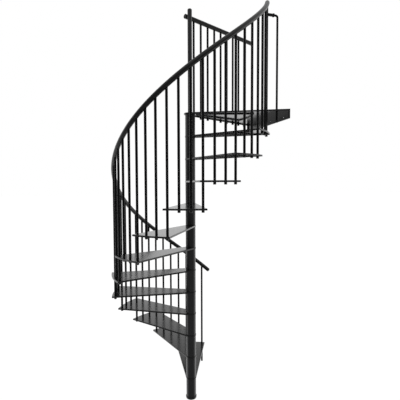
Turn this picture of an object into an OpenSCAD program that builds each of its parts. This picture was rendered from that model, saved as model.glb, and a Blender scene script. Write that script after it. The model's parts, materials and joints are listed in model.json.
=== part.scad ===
// Spiral staircase: a clamped stack of treads and spacers on a centre tube,
// with a landing, a helical handrail and round balusters.
// Millimetres. +Z is up and the tube's axis is Z. The landing leads off along +X.

/* [Flight] */
// Height from one tread to the next
riser = 225; // [180:5:270]
// Height of the first tread's top above the floor
first_rise = 225; // [170:1:260]
// Height of the landing's top above the last tread
landing_rise = 225; // [200:1:300]
// Turn from one tread to the next, in degrees
tread_turn = 22; // [18:0.5:26.5]
// Radius of the treads' outer edge
tread_radius = 786; // [640:1:960]

/* [Treads] */
// Depth of a tread's folded edge, top face included
tread_depth = 15; // [13:1:20]
// Thickness of the sheet that treads and landing are folded from
sheet = 3; // [2:0.5:4]
// Angle of a tread's two ribs to either side of its middle, in degrees
tread_rib_turn = 5.5; // [3:0.5:7]
// Angle that a tread reaches past its end balusters, in degrees
tread_overlap = 2.2; // [2:0.1:3]
// How far the ring of a tread stands out past the spacers
hub_lip = 3; // [1:0.5:8]

/* [Pole] */
// Outer radius of the centre tube
tube_r = 22.2; // [17:0.1:26]
// Wall of the centre tube and of the spacers
tube_wall = 3; // [2:0.5:4]
// Outer radius of the spacers
spacer_r = 50; // [40:1:60]
// Height of the centre tube above the landing
tube_rise = 1011; // [980:1:1200]
// How far the foot stands out past the spacers
foot_lip = 5; // [2:1:20]
// Height of the foot
foot_h = 24; // [18:1:40]
// Radius of the foot's rounded lower edge
foot_edge = 8; // [2:1:12]
// Thickness of the foot's floor, on which the tube stands
foot_floor = 6; // [4:1:12]

/* [Balustrade] */
// Radius of a baluster
baluster_r = 10; // [8:0.1:12]
// Distance of the balusters' centres from the treads' outer edge
baluster_inset = 33; // [28:1:45]
// Height of the handrail's centre line above the tread noses, at its foot
rail_height = 995; // [850:5:1100]
// How much lower above the noses the handrail ends than it starts
rail_fall = 22; // [0:1:60]
// Radius of the handrail
rail_r = 22; // [18:0.5:27]
// Length of handrail before the first baluster
rail_lead = 84; // [40:1:120]
// Length of handrail after the last baluster
rail_tail = 22; // [16:1:60]
// Height of the rounded ends of the handrail and of the pole's cap
dome_h = 12; // [6:1:16]
// Wall of the caps that hold the balusters under the treads
cap_wall = 2.2; // [1.5:0.1:5]
// Height of those caps
cap_h = 20; // [14:1:30]
// Thickness of their closed ends
cap_floor = 3; // [2:0.5:6]

/* [Landing] */
// Angle between the landing's two sides, in degrees
landing_angle = 51; // [41:1:60]
// Distance of the landing's outer face beyond the treads' outer edge
landing_overhang = 59; // [50:1:150]
// How far the landing's rounded tip stands out past the spacers
landing_hub_lip = 12; // [6:1:30]
// Depth of the landing's outer face
fascia_depth = 90; // [70:1:140]
// Thickness of the outer face
fascia_t = 5; // [4:0.5:8]
// Length of the outer face's turned-in ends
fascia_return = 18; // [10:1:40]
// Thickness of the ribs under the treads and the landing
rib_t = 5; // [3:0.5:8]
// Distance of the ribs' cross bar from the pole's axis
rib_reach = 640; // [450:5:640]
// Angle between the landing's sides and its ribs, in degrees
rib_margin = 8.5; // [7:0.5:15]
// Height of the landing rail's centre line above the landing
landing_rail_height = 958; // [850:1:1000]
// Widest spacing of the landing's balusters
landing_pitch = 105; // [90:1:120]
// Distance from the pole's axis along the landing rail to its first baluster
landing_rail_first = 90; // [75:1:110]
// Distance from the landing's outer face back to its last baluster
landing_rail_inset = 85.5; // [40:0.5:120]
// Length of landing rail past its last baluster
landing_rail_tail = 130; // [30:1:200]
// Length of landing rail past the pole's axis at its other end
landing_rail_back = 24; // [22:1:60]
// Distance from the landing's front side to the last flight baluster
flight_gap = 16.4; // [14:0.1:30]
// Radius of the fixing holes in the outer face
fixing_hole_r = 6; // [4:0.5:8]
// Spacing of the two inner fixing holes
fixing_inner = 186; // [120:2:240]
// Spacing of the two outer fixing holes
fixing_outer = 708; // [500:4:760]
// Depth of the fixing holes below the landing's top
fixing_drop = 60; // [45:1:62]

/* [End post] */
// Distance from the last flight baluster to the end post
end_post_gap = 108; // [100:1:130]
// Height of the end post's short rail above the landing
end_rail_height = 874; // [800:1:890]
// Length of the end post below the landing's top
end_post_drop = 120; // [60:1:150]
// Radius of the bend at the end post's top
end_bend_r = 18; // [12:1:24]
// Length of the straight stub after the bend
end_stub = 18; // [5:1:22]
// Radius of the collar on the stub
end_collar_r = 20; // [15:0.5:25]
// Length of the collar
end_collar_h = 14; // [8:1:20]
// Radius of the sleeve from the collar to the last flight baluster
end_sleeve_r = 12.5; // [10:0.5:14]

/* [Hidden] */
$fn = 64;

tread_count = 12;
spaces = 3;                       // baluster spaces on each tread
seat = 0.3;                       // gap round a fitted piece
hub_tuck = 1;                     // straight sides start this far inside a hub circle
hub_r = spacer_r + hub_lip;
foot_r = spacer_r + foot_lip;
landing_hub_r = spacer_r + landing_hub_lip;
cap_r = baluster_r + seat + cap_wall;
baluster_ring = tread_radius - baluster_inset;
step_turn = tread_turn / spaces;
landing_top = tread_top(tread_count) + landing_rise;
tube_top = landing_top + tube_rise;
bore_r = tube_r + seat;
landing_side_turn = landing_angle / 2;
last_turn = -landing_side_turn - asin((landing_hub_r - hub_tuck + flight_gap) / baluster_ring);
first_turn = last_turn - tread_count * tread_turn;
// How fast the handrail climbs, for each degree of turn
climb = (riser - rail_fall / tread_count) / tread_turn;
// Slope of the handrail
rail_slope = atan(climb * 180 / PI / baluster_ring);
rail_steps = 88;
rail_sides = 16;

function tread_top(n) = first_rise + (n - 1) * riser;
// Turn of the k-th baluster, counted from the foot of the flight
function baluster_turn(k) = first_turn + k * step_turn;
// The tread that holds the foot of the k-th baluster
function baluster_tread(k) = ceil(k / spaces);
function baluster_foot(k) = tread_top(baluster_tread(k)) - tread_depth - cap_h + cap_floor;
// Height of the handrail's centre line at a given turn
function rail_z(turn) = first_rise + rail_height + (turn - first_turn) * climb;
function polar(r, a) = [r * cos(a), r * sin(a)];

steel = [0.13, 0.135, 0.14];
steel_light = [0.36, 0.37, 0.38];
plastic = [0.06, 0.06, 0.065];

// ---------- treads and landing ----------

// A wedge whose straight sides run off a hub circle at plus and minus
// side_turn. inset draws it smaller all round.
module wedge(side_turn, hub, reach, inset) {
    near = hub - hub_tuck - inset;
    polygon([
        polar(near, -side_turn - 90),
        polar(near, -side_turn - 90) + polar(reach, -side_turn),
        polar(near, side_turn + 90) + polar(reach, side_turn),
        polar(near, side_turn + 90)
    ]);
}

// Sheet with its edges folded down: the first child is its outline, and the
// second is the hollow under it
module folded_tray() {
    translate([0, 0, -sheet])
        linear_extrude(sheet)
            children(0);
    difference() {
        translate([0, 0, -tread_depth])
            linear_extrude(tread_depth - sheet)
                children(0);
        translate([0, 0, -tread_depth - 1])
            linear_extrude(tread_depth + 1 - sheet)
                children(1);
    }
}

// Direction of a tread's side, which ends at the corner past the end baluster
tread_side_turn = tread_turn / 2 + tread_overlap - asin((hub_r - hub_tuck) / tread_radius);

module tread_outline(inset) {
    intersection() {
        circle(r = tread_radius - inset, $fn = 128);
        wedge(tread_side_turn, hub_r, 1.2 * tread_radius, inset);
    }
}

// One tread, with its middle on the X axis and its top at z = 0
module tread() {
    difference() {
        union() {
            folded_tray() {
                tread_outline(0);
                tread_outline(sheet);
            }
            translate([0, 0, -tread_depth])
                cylinder(r = hub_r, h = tread_depth);
            translate([0, 0, -tread_depth])
                rib_frame(tread_rib_turn, hub_r - sheet, rib_reach, tread_depth - sheet / 2);
            for (k = [0 : spaces])
                rotate([0, 0, (k - spaces / 2) * step_turn])
                    translate([baluster_ring, 0, -tread_depth])
                        cylinder(r = cap_r, h = tread_depth - sheet / 2);
        }
        translate([0, 0, -tread_depth - 1])
            cylinder(r = bore_r, h = tread_depth + 2);
        for (k = [0 : spaces])
            rotate([0, 0, (k - spaces / 2) * step_turn])
                translate([baluster_ring, 0, -tread_depth - 1])
                    cylinder(r = baluster_r + seat, h = tread_depth + 2);
    }
}

module tread_at(n) {
    color(steel_light)
        rotate([0, 0, baluster_turn(spaces * (n - 0.5))])
            translate([0, 0, tread_top(n)])
                tread();
}

// ---------- pole ----------

module floor_foot() {
    color(steel)
        rotate_extrude()
            difference() {
                union() {
                    translate([0, foot_edge])
                        square([foot_r, foot_h - foot_edge]);
                    square([foot_r - foot_edge, foot_edge]);
                    translate([foot_r - foot_edge, foot_edge])
                        circle(r = foot_edge);
                }
                translate([0, foot_floor])
                    square([bore_r, foot_h]);
            }
}

module centre_tube() {
    length = tube_top - foot_floor;
    color(steel)
        translate([0, 0, foot_floor])
            difference() {
                cylinder(r = tube_r, h = length);
                translate([0, 0, -1])
                    cylinder(r = tube_r - tube_wall, h = length + 2);
            }
}

// The top of a ball, as a rounded end on a tube or rail of this radius
module dome(radius) {
    ball_r = (radius * radius + dome_h * dome_h) / (2 * dome_h);
    intersection() {
        translate([0, 0, dome_h - ball_r])
            sphere(r = ball_r);
        translate([-ball_r, -ball_r, 0])
            cube([2 * ball_r, 2 * ball_r, 2 * ball_r]);
    }
}

module pole_cap() {
    color(plastic)
        translate([0, 0, tube_top])
            dome(tube_r);
}

module spacer(low, high) {
    translate([0, 0, low])
        difference() {
            cylinder(r = spacer_r, h = high - low);
            translate([0, 0, -1])
                cylinder(r = spacer_r - tube_wall, h = high - low + 2);
        }
}

module pole_spacers() {
    color(steel) {
        spacer(foot_h, first_rise - tread_depth);
        for (n = [1 : tread_count - 1])
            spacer(tread_top(n), tread_top(n + 1) - tread_depth);
        spacer(tread_top(tread_count), landing_top - tread_depth);
    }
}

// ---------- balusters ----------

// A baluster whose top is cut to the slope of the handrail above it
module flight_baluster(k, foot_z) {
    turn = baluster_turn(k);
    top = rail_z(turn);
    cut = 4 * rail_r;
    rotate([0, 0, turn])
        translate([baluster_ring, 0, 0])
            difference() {
                translate([0, 0, foot_z])
                    cylinder(r = baluster_r, h = top - foot_z);
                translate([0, 0, top - (rail_r + seat) / cos(rail_slope)])
                    rotate([rail_slope, 0, 0])
                        translate([-cut / 2, -cut / 2, 0])
                            cube([cut, cut, cut]);
            }
}

module start_baluster() {
    color(steel)
        flight_baluster(0, 0);
}

module balusters_at(n) {
    color(steel)
        for (k = [spaces * (n - 1) + 1 : spaces * n])
            flight_baluster(k, baluster_foot(k));
}

// A cup that closes the lower end of a baluster, with its rim at z = 0
module cap() {
    translate([0, 0, -cap_h])
        difference() {
            cylinder(r = cap_r, h = cap_h);
            translate([0, 0, cap_floor])
                cylinder(r = baluster_r + seat, h = cap_h);
        }
}

module baluster_caps() {
    color(plastic)
        for (k = [1 : spaces * tread_count])
            rotate([0, 0, baluster_turn(k)])
                translate([baluster_ring, 0, tread_top(baluster_tread(k)) - tread_depth])
                    cap();
}

// ---------- handrail ----------

rail_start = first_turn - rail_lead / baluster_ring * 180 / PI;
rail_finish = last_turn + rail_tail / baluster_ring * 180 / PI;

// Point on the handrail's surface at a turn, and at an angle round its own axis
function rail_point(turn, spin) =
    let (
        out = rail_r * cos(spin),
        up = rail_r * sin(spin)
    )
    [
        (baluster_ring + out) * cos(turn) + up * sin(rail_slope) * sin(turn),
        (baluster_ring + out) * sin(turn) - up * sin(rail_slope) * cos(turn),
        rail_z(turn) + up * cos(rail_slope)
    ];

module handrail() {
    points = [
        for (i = [0 : rail_steps], j = [0 : rail_sides - 1])
            rail_point(
                rail_start + (rail_finish - rail_start) * i / rail_steps,
                -90 + 360 * j / rail_sides
            )
    ];
    walls = [
        for (i = [0 : rail_steps - 1], j = [0 : rail_sides - 1])
            let (next = (j + 1) % rail_sides, low = i * rail_sides, high = low + rail_sides)
            [low + j, low + next, high + next, high + j]
    ];
    bottom = [for (j = [rail_sides - 1 : -1 : 0]) j];
    top = [for (j = [0 : rail_sides - 1]) rail_steps * rail_sides + j];
    color(plastic)
        polyhedron(points = points, faces = concat(walls, [bottom, top]));
}

// A rounded end on the handrail, which looks down the slope at -1 and up it at 1
module handrail_end(turn, direction) {
    rotate([0, 0, turn])
        translate([baluster_ring, 0, rail_z(turn)])
            rotate([rail_slope - 90 * direction, 0, 0])
                dome(rail_r - seat);
}

module handrail_ends() {
    color(plastic) {
        handrail_end(rail_start, -1);
        handrail_end(rail_finish, 1);
    }
}

// ---------- landing ----------

fascia_x = tread_radius + landing_overhang;
fascia_half = (landing_hub_r - hub_tuck) / cos(landing_side_turn) + fascia_x * tan(landing_side_turn);
landing_under = landing_top - tread_depth;
// The landing's rail runs behind the pole, parallel to the landing's back side
rail_row_offset = tube_r + rail_r + seat;
rail_row_reach = (fascia_x + rail_row_offset * sin(landing_side_turn)) / cos(landing_side_turn);
rail_row_length = rail_row_reach - landing_rail_inset - landing_rail_first;
rail_row_spaces = ceil(rail_row_length / landing_pitch);

module landing_outline(inset) {
    intersection() {
        wedge(landing_side_turn, landing_hub_r, 1.3 * fascia_x, inset);
        translate([-landing_hub_r, -fascia_x])
            square([landing_hub_r + fascia_x - inset, 2 * fascia_x]);
    }
}

// Places a child on the landing rail's line, at a distance along it
module on_row(distance) {
    rotate([0, 0, landing_side_turn])
        translate([distance, rail_row_offset, 0])
            children();
}

// Repeats a child at each of the landing's balusters
module each_on_row() {
    for (i = [0 : rail_row_spaces])
        on_row(landing_rail_first + i * rail_row_length / rail_row_spaces)
            children();
}

// The last flight baluster, and the post that stands beyond it
last_baluster = polar(baluster_ring, last_turn);
end_post_x = last_baluster[0] + end_post_gap;
end_post_y = last_baluster[1];
end_post_low = landing_top - end_post_drop;

module landing_plate() {
    color(steel_light)
        translate([0, 0, landing_top])
            difference() {
                union() {
                    folded_tray() {
                        landing_outline(0);
                        landing_outline(sheet);
                    }
                    translate([0, 0, -tread_depth])
                        cylinder(r = landing_hub_r, h = tread_depth);
                    each_on_row()
                        translate([0, 0, -tread_depth])
                            cylinder(r = cap_r, h = tread_depth - sheet / 2);
                    translate([end_post_x, end_post_y, -tread_depth])
                        cylinder(r = cap_r, h = tread_depth - sheet / 2);
                }
                translate([0, 0, -tread_depth - 1])
                    cylinder(r = bore_r, h = tread_depth + 2);
                each_on_row()
                    translate([0, 0, -tread_depth - 1])
                        cylinder(r = baluster_r + seat, h = tread_depth + 2);
                translate([end_post_x, end_post_y, -tread_depth - 1])
                    cylinder(r = baluster_r + seat, h = tread_depth + 2);
            }
}

// Plate on the landing's outer side, bolted to the edge of the upper floor,
// with its ends turned in under the landing's sides
module landing_fascia() {
    color(steel)
        difference() {
            union() {
                translate([fascia_x, -fascia_half, landing_top - fascia_depth])
                    cube([fascia_t, 2 * fascia_half, fascia_depth]);
                for (side = [0, 1])
                    mirror([0, side, 0])
                        translate([fascia_x, fascia_half, landing_top - fascia_depth])
                            rotate([0, 0, landing_side_turn])
                                translate([-fascia_return, -fascia_t, 0])
                                    cube([fascia_return, fascia_t, fascia_depth - tread_depth]);
            }
            for (side = [-1, 1], spacing = [fixing_inner, fixing_outer])
                translate([fascia_x - 1, side * spacing / 2, landing_top - fixing_drop])
                    rotate([0, 90, 0])
                        cylinder(r = fixing_hole_r, h = fascia_t + 2);
        }
}

// Two upright flat bars that run out from the pole to a curved cross bar,
// between z = 0 and depth
module rib_frame(turn, start, reach, depth) {
    for (side = [-1, 1])
        rotate([0, 0, side * turn])
            translate([start, -rib_t / 2, 0])
                cube([reach - start - rib_t / 2, rib_t, depth]);
    arc_turn = turn + asin(rib_t / reach);
    linear_extrude(depth)
        intersection() {
            difference() {
                circle(r = reach, $fn = 128);
                circle(r = reach - rib_t, $fn = 128);
            }
            polygon([
                [0, 0],
                polar(2 * reach, -arc_turn),
                polar(2 * reach, arc_turn)
            ]);
        }
}

module landing_ribs() {
    color(steel)
        translate([0, 0, landing_under])
            rib_frame(landing_side_turn - rib_margin, landing_hub_r, rib_reach, tread_depth - sheet);
}

module landing_rail() {
    length = landing_rail_back + landing_rail_first + rail_row_length + landing_rail_tail;
    color(plastic)
        translate([0, 0, landing_top + landing_rail_height])
            on_row(-landing_rail_back)
                rotate([0, 90, 0])
                    cylinder(r = rail_r, h = length);
}

module landing_balusters() {
    low = landing_under - cap_h + cap_floor;
    high = landing_top + landing_rail_height - rail_r - seat;
    color(steel)
        each_on_row()
            translate([0, 0, low])
                cylinder(r = baluster_r, h = high - low);
}

module landing_baluster_caps() {
    color(plastic)
        each_on_row()
            translate([0, 0, landing_under])
                cap();
}

// Post at the landing's front corner, with its top bent over towards the pole
module end_post() {
    bend_z = landing_top + end_rail_height - end_bend_r;
    color(steel)
        translate([end_post_x, end_post_y, 0]) {
            translate([0, 0, end_post_low])
                cylinder(r = baluster_r, h = bend_z - end_post_low);
            translate([-end_bend_r, 0, bend_z])
                rotate([90, 0, 0])
                    rotate_extrude(angle = 90)
                        translate([end_bend_r, 0])
                            circle(r = baluster_r);
            translate([-end_bend_r, 0, bend_z + end_bend_r])
                rotate([0, -90, 0])
                    cylinder(r = baluster_r, h = end_stub);
        }
}

// Short sleeve and collar that join the bent end to the last flight baluster
module end_post_rail() {
    length = end_post_gap - end_bend_r - end_stub - baluster_r - seat;
    color(plastic)
        translate([end_post_x - end_bend_r - end_stub, end_post_y, landing_top + end_rail_height])
            rotate([0, -90, 0]) {
                cylinder(r = end_collar_r, h = end_collar_h);
                cylinder(r = end_sleeve_r, h = length);
            }
}

module end_post_cap() {
    color(plastic)
        translate([end_post_x, end_post_y, end_post_low + cap_h - cap_floor])
            cap();
}

floor_foot();
centre_tube();
pole_cap();
pole_spacers();
tread_at(1);  // tread_01
tread_at(2);  // tread_02
tread_at(3);  // tread_03
tread_at(4);  // tread_04
tread_at(5);  // tread_05
tread_at(6);  // tread_06
tread_at(7);  // tread_07
tread_at(8);  // tread_08
tread_at(9);  // tread_09
tread_at(10);  // tread_10
tread_at(11);  // tread_11
tread_at(12);  // tread_12
landing_plate();
landing_fascia();
landing_ribs();
start_baluster();
balusters_at(1);  // balusters_01
balusters_at(2);  // balusters_02
balusters_at(3);  // balusters_03
balusters_at(4);  // balusters_04
balusters_at(5);  // balusters_05
balusters_at(6);  // balusters_06
balusters_at(7);  // balusters_07
balusters_at(8);  // balusters_08
balusters_at(9);  // balusters_09
balusters_at(10);  // balusters_10
balusters_at(11);  // balusters_11
balusters_at(12);  // balusters_12
baluster_caps();
handrail();
handrail_ends();
landing_rail();
landing_balusters();
landing_baluster_caps();
end_post();
end_post_rail();
end_post_cap();
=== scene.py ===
import json
import math

import bmesh
import bpy
from mathutils import Matrix, Quaternion, Vector


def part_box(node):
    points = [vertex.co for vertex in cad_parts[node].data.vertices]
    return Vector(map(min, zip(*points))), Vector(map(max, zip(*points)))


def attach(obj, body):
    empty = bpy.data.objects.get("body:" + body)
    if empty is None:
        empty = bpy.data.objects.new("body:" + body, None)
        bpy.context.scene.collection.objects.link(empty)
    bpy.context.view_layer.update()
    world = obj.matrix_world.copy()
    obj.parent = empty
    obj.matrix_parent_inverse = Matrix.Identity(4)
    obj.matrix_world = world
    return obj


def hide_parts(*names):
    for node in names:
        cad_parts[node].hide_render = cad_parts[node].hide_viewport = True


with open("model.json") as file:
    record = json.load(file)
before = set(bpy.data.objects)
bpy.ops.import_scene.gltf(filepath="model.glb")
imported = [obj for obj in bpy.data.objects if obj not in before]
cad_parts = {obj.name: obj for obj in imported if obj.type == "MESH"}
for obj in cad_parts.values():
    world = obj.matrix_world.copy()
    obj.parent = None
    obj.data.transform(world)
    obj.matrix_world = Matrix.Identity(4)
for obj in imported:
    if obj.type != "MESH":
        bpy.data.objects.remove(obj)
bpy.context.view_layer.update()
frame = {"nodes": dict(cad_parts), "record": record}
NODES = frame["nodes"]

# ---------- camera ----------

SENSOR = 36.0                          # lens and sensor in millimetres
LENS = 31.26
CAMERA_DISTANCE = 3.5174               # from the pole, along the floor
CAMERA_HEIGHT = 2.228
CAMERA_SIDE = math.radians(-15.1)      # how far the camera stands round from -Y
CAMERA_YAW = math.radians(1.575)
CAMERA_PITCH = math.radians(-2.801)
CAMERA_ROLL = math.radians(-0.172)
CLIP_END = 200


def make_camera():
    """Adds the camera, and returns the way it looks."""
    data = bpy.data.cameras.new("camera")
    data.sensor_width = SENSOR
    data.lens = LENS
    data.clip_end = CLIP_END
    camera = bpy.data.objects.new("camera", data)
    bpy.context.scene.collection.objects.link(camera)
    turn = Matrix.Rotation(CAMERA_SIDE, 3, "Z")
    forward = turn @ Vector((
        math.sin(CAMERA_YAW) * math.cos(CAMERA_PITCH),
        math.cos(CAMERA_YAW) * math.cos(CAMERA_PITCH),
        math.sin(CAMERA_PITCH),
    ))
    camera.location = turn @ Vector((0, -CAMERA_DISTANCE, CAMERA_HEIGHT))
    camera.rotation_mode = "QUATERNION"
    camera.rotation_quaternion = (
        forward.to_track_quat("-Z", "Y") @ Quaternion((0, 0, 1), CAMERA_ROLL)
    )
    bpy.context.scene.camera = camera
    return forward


# ---------- light and floor ----------

# The surroundings are white ahead of the camera and dimmer behind it. The side is
# the cosine of the way from the camera's own, and a height is the sine of a way's rise.
DIM_SIDE = 0.16
DIM_FALL = (-0.35, 0.1)
# High up, the dim side is light again
SKY_SHADE = 0.8
SKY_RISE = (0.22, 0.5)
# A brighter band low in the sky, and what is left of it higher up
BAND_GAIN = 1.45
BAND_RISE = (0.04, 0.16)
HIGH_GAIN = 0.88
BAND_FALL = (0.3, 0.48)
# Below the horizon they are brighter too, which lights the undersides
LOW_GAIN = 1.45
LOW_RISE = (-0.14, -0.03)


def make_world(forward):
    """Shaded surroundings for the light, and plain white where the camera sees them."""
    world = bpy.data.worlds.new("studio")
    bpy.context.scene.world = world
    world.use_nodes = True
    nodes, links = world.node_tree.nodes, world.node_tree.links
    nodes.clear()

    def stepped(value, source, target):
        """Carries a value smoothly from one pair of limits to another."""
        step = nodes.new("ShaderNodeMapRange")
        step.interpolation_type = "SMOOTHSTEP"
        for name, limit in zip(("From Min", "From Max", "To Min", "To Max"), source + target):
            step.inputs[name].default_value = limit
        links.new(value, step.inputs["Value"])
        return step.outputs["Result"]

    def combined(operation, first, second):
        node = nodes.new("ShaderNodeMath")
        node.operation = operation
        links.new(first, node.inputs[0])
        links.new(second, node.inputs[1])
        return node.outputs[0]

    place = nodes.new("ShaderNodeTexCoord").outputs["Generated"]
    ahead = nodes.new("ShaderNodeVectorMath")
    ahead.operation = "DOT_PRODUCT"
    ahead.inputs[1].default_value = Vector((forward.x, forward.y, 0)).normalized()
    links.new(place, ahead.inputs[0])
    axes = nodes.new("ShaderNodeSeparateXYZ")
    links.new(place, axes.inputs[0])
    height = axes.outputs["Z"]

    strength = combined(
        "MAXIMUM",
        stepped(ahead.outputs["Value"], DIM_FALL, (DIM_SIDE, 1.0)),
        stepped(height, SKY_RISE, (0.0, SKY_SHADE)))
    for source, target in (
            (BAND_RISE, (1.0, BAND_GAIN)),
            (BAND_FALL, (1.0, HIGH_GAIN / BAND_GAIN)),
            (LOW_RISE, (LOW_GAIN, 1.0))):
        strength = combined("MULTIPLY", strength, stepped(height, source, target))

    lighting = nodes.new("ShaderNodeBackground")
    links.new(strength, lighting.inputs["Strength"])
    backdrop = nodes.new("ShaderNodeBackground")
    backdrop.inputs["Color"].default_value = (1, 1, 1, 1)
    path = nodes.new("ShaderNodeLightPath")
    mix = nodes.new("ShaderNodeMixShader")
    out = nodes.new("ShaderNodeOutputWorld")
    links.new(path.outputs["Is Camera Ray"], mix.inputs["Fac"])
    links.new(lighting.outputs[0], mix.inputs[1])
    links.new(backdrop.outputs[0], mix.inputs[2])
    links.new(mix.outputs[0], out.inputs["Surface"])


FLOOR_HALF = 60
FLOOR_SHADE = 0.1
FLOOR_GLOW = 0.98         # makes the floor as white as the backdrop


def make_floor():
    """A white floor that runs into the backdrop and isn't mirrored in the stair."""
    mesh = bpy.data.meshes.new("floor")
    mesh.from_pydata(
        [(x * FLOOR_HALF, y * FLOOR_HALF, 0) for x, y in ((-1, -1), (1, -1), (1, 1), (-1, 1))],
        [], [(0, 1, 2, 3)],
    )
    floor = bpy.data.objects.new("floor", mesh)
    bpy.context.scene.collection.objects.link(floor)
    material = bpy.data.materials.new("floor_white")
    material.use_nodes = True
    shader = material.node_tree.nodes["Principled BSDF"]
    shader.inputs["Base Color"].default_value = (FLOOR_SHADE, FLOOR_SHADE, FLOOR_SHADE, 1)
    shader.inputs["Roughness"].default_value = 1
    shader.inputs["Specular IOR Level"].default_value = 0
    shader.inputs["Emission Color"].default_value = (1, 1, 1, 1)
    shader.inputs["Emission Strength"].default_value = FLOOR_GLOW
    mesh.materials.append(material)
    floor.visible_glossy = False


# ---------- materials ----------

PEEL_DEPTH = 0.0001       # height of the grain
CLOUD_SCALE = 3.0         # of the slow change of shade
CLOUD_DETAIL = 3.0
GRAIN_DETAIL = 2.0
MIX_DARK, MIX_LIGHT, MIXED = 6, 7, 2      # a mix node's colour sockets, by place
LACQUER_IOR = 1.5


def coat(name, dark, light, roughness, spread, bump, grain, shine=0.5):
    """Powder coat or moulded plastic: a fine grain with a slow change of gloss and shade.

    The shade goes from dark to light and the roughness by spread either way, bump is
    the strength of the grain, and shine is how strongly the surface mirrors.
    """
    material = bpy.data.materials.new(name)
    material.use_nodes = True
    nodes, links = material.node_tree.nodes, material.node_tree.links
    shader = nodes["Principled BSDF"]
    place = nodes.new("ShaderNodeTexCoord")
    slow = nodes.new("ShaderNodeTexNoise")
    slow.inputs["Scale"].default_value = CLOUD_SCALE
    slow.inputs["Detail"].default_value = CLOUD_DETAIL
    fine = nodes.new("ShaderNodeTexNoise")
    fine.inputs["Scale"].default_value = grain
    fine.inputs["Detail"].default_value = GRAIN_DETAIL
    shade = nodes.new("ShaderNodeMix")
    shade.data_type = "RGBA"
    shade.inputs[MIX_DARK].default_value = (*dark, 1)
    shade.inputs[MIX_LIGHT].default_value = (*light, 1)
    gloss = nodes.new("ShaderNodeMapRange")
    gloss.inputs["To Min"].default_value = roughness - spread
    gloss.inputs["To Max"].default_value = roughness + spread
    relief = nodes.new("ShaderNodeBump")
    relief.inputs["Strength"].default_value = bump
    relief.inputs["Distance"].default_value = PEEL_DEPTH
    for noise in (slow, fine):
        links.new(place.outputs["Object"], noise.inputs["Vector"])
    links.new(slow.outputs["Fac"], shade.inputs[0])
    links.new(slow.outputs["Fac"], gloss.inputs["Value"])
    links.new(fine.outputs["Fac"], relief.inputs["Height"])
    links.new(shade.outputs[MIXED], shader.inputs["Base Color"])
    links.new(gloss.outputs["Result"], shader.inputs["Roughness"])
    links.new(relief.outputs["Normal"], shader.inputs["Normal"])
    shader.inputs["IOR"].default_value = LACQUER_IOR
    shader.inputs["Specular IOR Level"].default_value = shine
    return material


GLOSS_COAT = coat(
    "pole_coat", (0.008, 0.008, 0.0088), (0.014, 0.014, 0.015), 0.28, 0.03, 0.1, 900)
MATT_COAT = coat(
    "bar_coat", (0.001, 0.001, 0.0011), (0.003, 0.003, 0.0033), 0.28, 0.04, 0.1, 900, 0.15)
TREAD_COAT = coat(
    "tread_coat", (0.005, 0.005, 0.0055), (0.009, 0.009, 0.0098), 0.2, 0.03, 0.06, 900)
RAIL_SKIN = coat(
    "rail_plastic", (0.002, 0.002, 0.002), (0.004, 0.004, 0.004), 0.3, 0.04, 0.12, 1400)
FLAT_SKIN = coat(
    "flat_plastic", (0.002, 0.002, 0.002), (0.004, 0.004, 0.004), 0.32, 0.04, 0.12, 1400, 0.25)
CAP_SKIN = coat(
    "cap_plastic", (0.004, 0.004, 0.004), (0.008, 0.008, 0.008), 0.36, 0.04, 0.12, 1400)
SLOTS = {part["node"]: part["material_slot"] for part in frame["record"]["subparts"]}
SLOT_FINISHES = {"dark_steel": GLOSS_COAT, "tread_steel": TREAD_COAT, "black_plastic": CAP_SKIN}

# ---------- mesh building ----------

ROUND_SIDES = 32
POLE_SIDES = 64
SHARP_ANGLE = math.radians(38)
POINT_R = 0.0002          # radius at which a rounded end closes
CROSS_BAR_STEPS = 12
DOME_STEPS = 8
PILLAR_GAP = 0.05         # round pieces of one node stand further apart than this


def quarter(steps):
    """Angles from nought to a right angle."""
    return [math.pi / 2 * i / steps for i in range(steps + 1)]


def polar(radius, turn):
    return Vector((radius * math.cos(turn), radius * math.sin(turn)))


class Shape:
    """Vertices and faces of one piece, gathered from lofted rings."""

    def __init__(self):
        self.vertices = []
        self.faces = []

    def loft(self, rings):
        """Skins closed rings of equal length, and closes both ends."""
        count = len(rings[0])
        base = len(self.vertices)
        end = base + (len(rings) - 1) * count
        for ring in rings:
            self.vertices.extend(ring)
        for low in range(base, end, count):
            for j in range(count):
                following = (j + 1) % count
                self.faces.append(
                    (low + j, low + following, low + count + following, low + count + j))
        self.faces.append(tuple(range(base + count - 1, base - 1, -1)))
        self.faces.append(tuple(range(end, end + count)))

    def sweep(self, stations, sides=ROUND_SIDES):
        """Skins circles, each given as its centre, two directions across it and its radius."""
        self.loft([
            [
                centre + radius * (math.cos(spin) * across + math.sin(spin) * up)
                for spin in (math.tau * j / sides for j in range(sides))
            ]
            for centre, across, up, radius in stations
        ])

    def turned(self, centre, profile, sides=ROUND_SIDES):
        """Turns (radius, height) pairs about an upright line through centre."""
        self.sweep([
            (Vector((centre.x, centre.y, height)), Vector((1, 0, 0)), Vector((0, 1, 0)), radius)
            for radius, height in profile
        ], sides)

    def bar(self, start, end, width, low, high):
        """An upright flat bar between two plan points."""
        along = (end - start).normalized()
        aside = Vector((-along.y, along.x)) * width / 2
        plan = [start - aside, end - aside, end + aside, start + aside]
        self.loft([[Vector((p.x, p.y, z)) for p in plan] for z in (low, high)])

    def curved_bar(self, radius, width, middle, half_turn, low, high):
        """An upright flat bar that follows a circle about the pole."""
        inner = radius - width
        section = ((inner, low), (radius, low), (radius, high), (inner, high))
        rings = []
        for i in range(CROSS_BAR_STEPS + 1):
            turn = middle + half_turn * (2 * i / CROSS_BAR_STEPS - 1)
            rings.append([Vector((*polar(r, turn), z)) for r, z in section])
        self.loft(rings)


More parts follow.
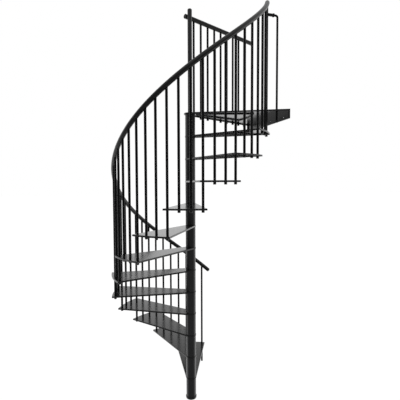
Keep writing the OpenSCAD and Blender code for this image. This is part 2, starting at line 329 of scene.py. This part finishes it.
def add_piece(name, shape, finish, *nodes):
    """Makes a piece of the shape, which takes the place of those CAD nodes."""
    mesh = bpy.data.meshes.new(name)
    mesh.from_pydata(shape.vertices, [], shape.faces)
    work = bmesh.new()
    work.from_mesh(mesh)
    bmesh.ops.recalc_face_normals(work, faces=work.faces)
    work.to_mesh(mesh)
    work.free()
    mesh.shade_smooth()
    mesh.set_sharp_from_angle(angle=SHARP_ANGLE)
    mesh.materials.append(finish)
    piece = bpy.data.objects.new(name, mesh)
    bpy.context.scene.collection.objects.link(piece)
    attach(piece, "root")
    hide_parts(*nodes)


def dome(radius, height):
    """(radius, height) pairs of a rounded end, from its rim to its tip."""
    ball = (radius * radius + height * height) / (2 * height)
    pairs = []
    for turn in quarter(DOME_STEPS):
        up = height * math.sin(turn)
        width = math.sqrt(max(0, ball ** 2 - (up + ball - height) ** 2))
        pairs.append((max(POINT_R, width), up))
    return pairs


def pillars(node):
    """Plan centre, radius, foot and top of each upright round piece in a node."""
    groups = []
    for vertex in NODES[node].data.vertices:
        for group in groups:
            if (vertex.co.xy - group[0].xy).length < PILLAR_GAP:
                group.append(vertex.co)
                break
        else:
            groups.append([vertex.co])
    found = []
    for group in groups:
        x, y, z = ([point[axis] for point in group] for axis in range(3))
        found.append((
            Vector(((min(x) + max(x)) / 2, (min(y) + max(y)) / 2)),
            (max(x) - min(x)) / 2, min(z), max(z),
        ))
    return found


# ---------- pole ----------

AXIS = Vector((0, 0))     # plan place of the pole
EASE = 0.0012             # chamfer on the ends of tubes
FOOT_EDGE = 0.008         # rounding of the foot's lower edge
FOOT_STEPS = 6
TREADS = range(1, 13)


def spacer_radius():
    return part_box("pole_spacers")[1].x


def make_foot():
    low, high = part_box("floor_foot")
    foot = high.x
    rounding = [
        (foot - FOOT_EDGE * (1 - math.sin(turn)), low.z + FOOT_EDGE * (1 - math.cos(turn)))
        for turn in quarter(FOOT_STEPS)
    ]
    shape = Shape()
    shape.turned(
        AXIS,
        [(foot - FOOT_EDGE - EASE, low.z), *rounding, (foot, high.z - EASE), (foot - EASE, high.z)],
        POLE_SIDES)
    add_piece("foot_turned", shape, GLOSS_COAT, "floor_foot")


def make_spacers():
    """The tubes between the foot, the treads' hubs and the landing's hub."""
    radius = spacer_radius()
    hubs = [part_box(f"tread_{number:02}") for number in TREADS] + [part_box("landing_plate")]
    floors = [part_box("floor_foot")[1].z] + [hub[1].z for hub in hubs[:-1]]
    shape = Shape()
    for floor, hub in zip(floors, hubs):
        ceiling = hub[0].z
        shape.turned(AXIS, [
            (radius - EASE, floor), (radius, floor + EASE), (radius, floor + 2 * EASE),
            (radius, ceiling - 2 * EASE), (radius, ceiling - EASE), (radius - EASE, ceiling),
        ], POLE_SIDES)
    add_piece("spacers_turned", shape, GLOSS_COAT, "pole_spacers")


def make_pole_top():
    """The centre tube, which shows above the landing, and its cap."""
    low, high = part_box("centre_tube")
    shape = Shape()
    shape.turned(
        AXIS, [(high.x, low.z), (high.x, high.z - EASE), (high.x - EASE, high.z)], POLE_SIDES)
    add_piece("tube_turned", shape, GLOSS_COAT, "centre_tube")

    low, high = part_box("pole_cap")
    shape = Shape()
    shape.turned(AXIS, [(r, low.z + up) for r, up in dome(high.x, high.z - low.z)], POLE_SIDES)
    add_piece("pole_cap_moulded", shape, CAP_SKIN, "pole_cap")


# ---------- treads and landing ----------

SHEET = 0.003             # thickness of the folded sheets
FOLD = 0.003              # outer radius of a folded edge
FOLD_STEPS = 4
HOLD = 0.0012             # flat strip beside a fold, which keeps the face flat
HUB_LIP = 0.003           # how far a tread's hub stands out past the spacers
RIB_T = 0.005             # thickness of the flat bars under a sheet
RIB_REACH = 0.64          # how far out from the pole they reach
TREAD_RIB_TURN = math.radians(5.5)
LANDING_RIB_TURN = math.radians(17)
HUB_STEPS = 40
ARC_STEPS = 40
RIM_SLACK = 0.0005        # a point this near to the reach is on the rim
LEVEL_SLACK = 0.001       # heights this near are the same


def fold_profile(depth):
    """(inset, drop) pairs over a folded edge, from the top face round to the underside."""
    fold = [
        (FOLD * (1 - math.sin(turn)), FOLD * (1 - math.cos(turn))) for turn in quarter(FOLD_STEPS)
    ]
    return [
        (FOLD + HOLD, 0), *fold, (0, FOLD + HOLD), (0, depth - HOLD / 2), (HOLD / 2, depth),
        (SHEET, depth), (SHEET, SHEET),
    ]


def hub_arc(hub, side_turn):
    """Plan points round the back of a hub, from one straight side to the other."""
    start = side_turn + math.pi / 2
    sweep = math.tau - 2 * start
    return [polar(hub, start + sweep * i / HUB_STEPS) for i in range(HUB_STEPS + 1)]


def folded_sheet(shape, outline, turn, top, depth):
    """Adds the folded sheet whose outline(inset) gives its plan, turned about the pole."""
    spin = Matrix.Rotation(turn, 2)
    rings = []
    for inset, drop in fold_profile(depth):
        plan = [spin @ point for point in outline(inset)]
        rings.append([Vector((p.x, p.y, top - drop)) for p in plan])
    shape.loft(rings)


def add_ribs(shape, middle, rib_turn, start, low, high):
    """Adds two flat bars that run out from the pole, and the cross bar at their ends."""
    for side in (-1, 1):
        turn = middle + side * rib_turn
        shape.bar(polar(start, turn), polar(RIB_REACH - RIB_T / 2, turn), RIB_T, low, high)
    shape.curved_bar(RIB_REACH, RIB_T, middle, rib_turn + RIB_T / RIB_REACH, low, high)


def make_tread(number, caps):
    """One tread, with a boss over each of the caps that are at its level."""
    node = f"tread_{number:02}"
    low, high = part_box(node)
    # The points on the curved outer edge tell which way the tread lies and how wide it is
    points = [vertex.co.xy for vertex in NODES[node].data.vertices]
    reach = max(point.length for point in points)
    rim = [point for point in points if point.length > reach - RIM_SLACK]
    total = sum(rim, Vector((0, 0)))
    middle = math.atan2(total.y, total.x)
    corner = max(abs(polar(1, middle).angle_signed(point)) for point in rim)
    hub = spacer_radius() + HUB_LIP
    side_turn = corner - math.asin(hub / reach)

    def outline(inset):
        half = side_turn + math.asin((hub - inset) / (reach - inset))
        arc = [
            polar(reach - inset, half * (2 * i / ARC_STEPS - 1)) for i in range(ARC_STEPS + 1)
        ]
        return arc + hub_arc(hub - inset, side_turn)

    shape = Shape()
    folded_sheet(shape, outline, middle, high.z, high.z - low.z)
    under = high.z - SHEET / 2
    shape.turned(AXIS, [(hub - SHEET / 2, low.z), (hub - SHEET / 2, under)], POLE_SIDES)
    add_ribs(shape, middle, TREAD_RIB_TURN, hub - SHEET, low.z, under)
    for centre, radius, _, rim_z in caps:
        if abs(rim_z - low.z) < LEVEL_SLACK:
            shape.turned(centre, [(radius, low.z), (radius, under)])
    add_piece(f"tread_folded_{number:02}", shape, TREAD_COAT, node)


def make_landing():
    """The landing's folded sheet with its bosses, and the flat bars under it."""
    low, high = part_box("landing_plate")
    hub = -low.x
    corner = Vector((high.x, high.y))
    side_turn = math.atan2(corner.y, corner.x) - math.asin(hub / corner.length)

    def outline(inset):
        x = high.x - inset
        half = (hub - inset) / math.cos(side_turn) + x * math.tan(side_turn)
        return [Vector((x, -half)), Vector((x, half))] + hub_arc(hub - inset, side_turn)

    shape = Shape()
    folded_sheet(shape, outline, 0, high.z, high.z - low.z)
    under = high.z - SHEET / 2
    shape.turned(AXIS, [(hub - SHEET / 2, low.z), (hub - SHEET / 2, under)], POLE_SIDES)
    for centre, radius, _, _ in pillars("landing_baluster_caps"):
        shape.turned(centre, [(radius, low.z), (radius, under)])
    post, radius = end_post_place()
    shape.turned(post, [(radius + SHEET, low.z), (radius + SHEET, under)])
    add_piece("landing_folded", shape, TREAD_COAT, "landing_plate")

    low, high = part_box("landing_ribs")
    shape = Shape()
    add_ribs(shape, 0, LANDING_RIB_TURN, hub, low.z, high.z)
    add_piece("landing_ribs_flat", shape, GLOSS_COAT, "landing_ribs")


# ---------- balustrade ----------

RAIL_R = 0.022
RAIL_LEAD = 0.084         # how far the handrail runs on past its first baluster
RAIL_TAIL = 0.022         # and past its last
DOME_H = 0.012            # height of the handrail's rounded ends
RAIL_STEPS = 220
SLOPE_PASSES = 4
BALUSTER_TURN = math.radians(22 / 3)
LAST_BALUSTER = 36        # counted from the one that stands on the floor
COAT_BUILD = 0.0012       # how far a baluster is drawn past its packed radius
CAP_EDGE = 0.004          # rounding of a cap's lower edge


def make_balusters(name, node):
    shape = Shape()
    for centre, radius, foot, top in pillars(node):
        outer = radius + COAT_BUILD
        shape.turned(centre, [(outer - EASE, foot), (outer, foot + EASE), (outer, top)])
    add_piece(name, shape, MATT_COAT, node)


def make_caps(name, node):
    """Moulded cups under the treads, with a rounded lower edge."""
    shape = Shape()
    for centre, radius, foot, top in pillars(node):
        edge = [
            (radius - CAP_EDGE + r, foot + CAP_EDGE - up) for r, up in dome(CAP_EDGE, CAP_EDGE)
        ]
        shape.turned(centre, [*edge[::-1], (radius, top - EASE), (radius - EASE / 2, top)])
    add_piece(name, shape, CAP_SKIN, node)


def make_handrail():
    """The rail over the ring of balusters, from its rounded foot to its rounded top."""
    centre, _, _, _ = pillars("start_baluster")[0]
    ring = centre.length
    first = math.atan2(centre.y, centre.x) - math.tau
    start = first - RAIL_LEAD / ring
    finish = first + LAST_BALUSTER * BALUSTER_TURN + RAIL_TAIL / ring
    low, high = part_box("handrail")
    slope = math.atan((high.z - low.z) / (ring * (finish - start)))
    for _ in range(SLOPE_PASSES):
        climb = (high.z - low.z - 2 * RAIL_R * math.cos(slope)) / (finish - start)
        slope = math.atan(climb / ring)
    foot_z = low.z + RAIL_R * math.cos(slope)

    def station(turn, beyond, radius):
        """A circle across the rail, which lies beyond its turn by a distance along it."""
        out = Vector((math.cos(turn), math.sin(turn), 0))
        along = Vector((-out.y * math.cos(slope), out.x * math.cos(slope), math.sin(slope)))
        middle = Vector((ring * out.x, ring * out.y, foot_z + (turn - start) * climb))
        return middle + beyond * along, out, along.cross(out), radius

    ends = dome(RAIL_R, DOME_H)
    stations = [station(start, -up, radius) for radius, up in ends[::-1]]
    for i in range(1, RAIL_STEPS):
        stations.append(station(start + (finish - start) * i / RAIL_STEPS, 0, RAIL_R))
    stations += [station(finish, up, radius) for radius, up in ends]
    shape = Shape()
    shape.sweep(stations)
    add_piece("handrail_swept", shape, RAIL_SKIN, "handrail", "handrail_ends")


def make_landing_rail():
    """The straight rail over the landing's row of balusters."""
    row = sorted((centre for centre, *_ in pillars("landing_balusters")), key=lambda c: c.x)
    along = (row[-1] - row[0]).normalized()
    low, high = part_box("landing_rail")
    radius = (high.z - low.z) / 2
    reaches = [(v.co.xy - row[0]).dot(along) for v in NODES["landing_rail"].data.vertices]
    near, far = min(reaches), max(reaches)
    ends = [(near, radius - EASE), (near + EASE, radius), (near + 2 * EASE, radius),
            (far - 2 * EASE, radius), (far - EASE, radius), (far, radius - EASE)]
    aside, up = Vector((-along.y, along.x, 0)), Vector((0, 0, 1))
    stations = [
        (Vector((*(row[0] + reach * along), low.z + radius)), aside, up, size)
        for reach, size in ends
    ]
    shape = Shape()
    shape.sweep(stations)
    add_piece("landing_rail_straight", shape, FLAT_SKIN, "landing_rail")


# ---------- end post ----------

BEND_R = 0.018            # radius of the post's bend, along its middle
BEND_STEPS = 8
SLEEVE_R = 0.0135         # drawn radius of the sleeve
COLLAR_H = 0.014          # length of the collar, from the bent end
COLLAR_EASE = 0.003       # how far the collar is drawn inside its packed radius


def end_post_place():
    """Plan centre and radius of the end post."""
    low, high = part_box("end_post")
    radius = (high.y - low.y) / 2
    return Vector((high.x - radius, low.y + radius)), radius


def make_end_post():
    """The post at the landing's front corner, with its top bent over towards the pole."""
    low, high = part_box("end_post")
    post, radius = end_post_place()
    bend_z = high.z - radius - BEND_R

    def station(x, z, turn):
        """A circle across the post where it has turned that far from upright."""
        inward = Vector((-math.cos(turn), 0, -math.sin(turn)))
        return Vector((x, post.y, z)), Vector((0, 1, 0)), inward, radius

    stations = [station(post.x, low.z, 0)]
    for turn in quarter(BEND_STEPS):
        x = post.x - BEND_R * (1 - math.cos(turn))
        stations.append(station(x, bend_z + BEND_R * math.sin(turn), turn))
    stations.append(station(low.x, bend_z + BEND_R, math.pi / 2))
    shape = Shape()
    shape.sweep(stations)
    add_piece("end_post_bent", shape, MATT_COAT, "end_post")


def make_end_sleeve():
    """The sleeve and collar that join the bent end to the last flight baluster."""
    post, _ = end_post_place()
    low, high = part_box("end_post_rail")
    middle_z = (low.z + high.z) / 2
    collar = (high.y - low.y) / 2 - COLLAR_EASE
    collar_x = high.x - COLLAR_H
    profile = [(high.x, collar - EASE), (high.x - EASE, collar), (collar_x + EASE, collar),
               (collar_x, collar - EASE), (collar_x, SLEEVE_R), (low.x + EASE, SLEEVE_R),
               (low.x, SLEEVE_R - EASE)]
    shape = Shape()
    shape.sweep([
        (Vector((x, post.y, middle_z)), Vector((0, 1, 0)), Vector((0, 0, 1)), size)
        for x, size in profile
    ])
    add_piece("end_sleeve_moulded", shape, FLAT_SKIN, "end_post_rail")


# ---------- the whole stair ----------


def dress_nodes():
    """Gives each CAD node that stays in view its finish."""
    for name, obj in NODES.items():
        obj.data.materials.clear()
        obj.data.materials.append(SLOT_FINISHES[SLOTS[name]])


bpy.context.scene.view_settings.view_transform = "Standard"
make_world(make_camera())
make_floor()
dress_nodes()
make_foot()
make_spacers()
make_pole_top()
tread_caps = pillars("baluster_caps")
for number in TREADS:
    make_tread(number, tread_caps)
    make_balusters(f"balusters_round_{number:02}", f"balusters_{number:02}")
make_landing()
make_balusters("start_baluster_round", "start_baluster")
make_balusters("landing_balusters_round", "landing_balusters")
make_caps("baluster_caps_moulded", "baluster_caps")
make_caps("landing_caps_moulded", "landing_baluster_caps")
make_handrail()
make_landing_rail()
make_end_post()
make_end_sleeve()
make_caps("end_post_cap_moulded", "end_post_cap")
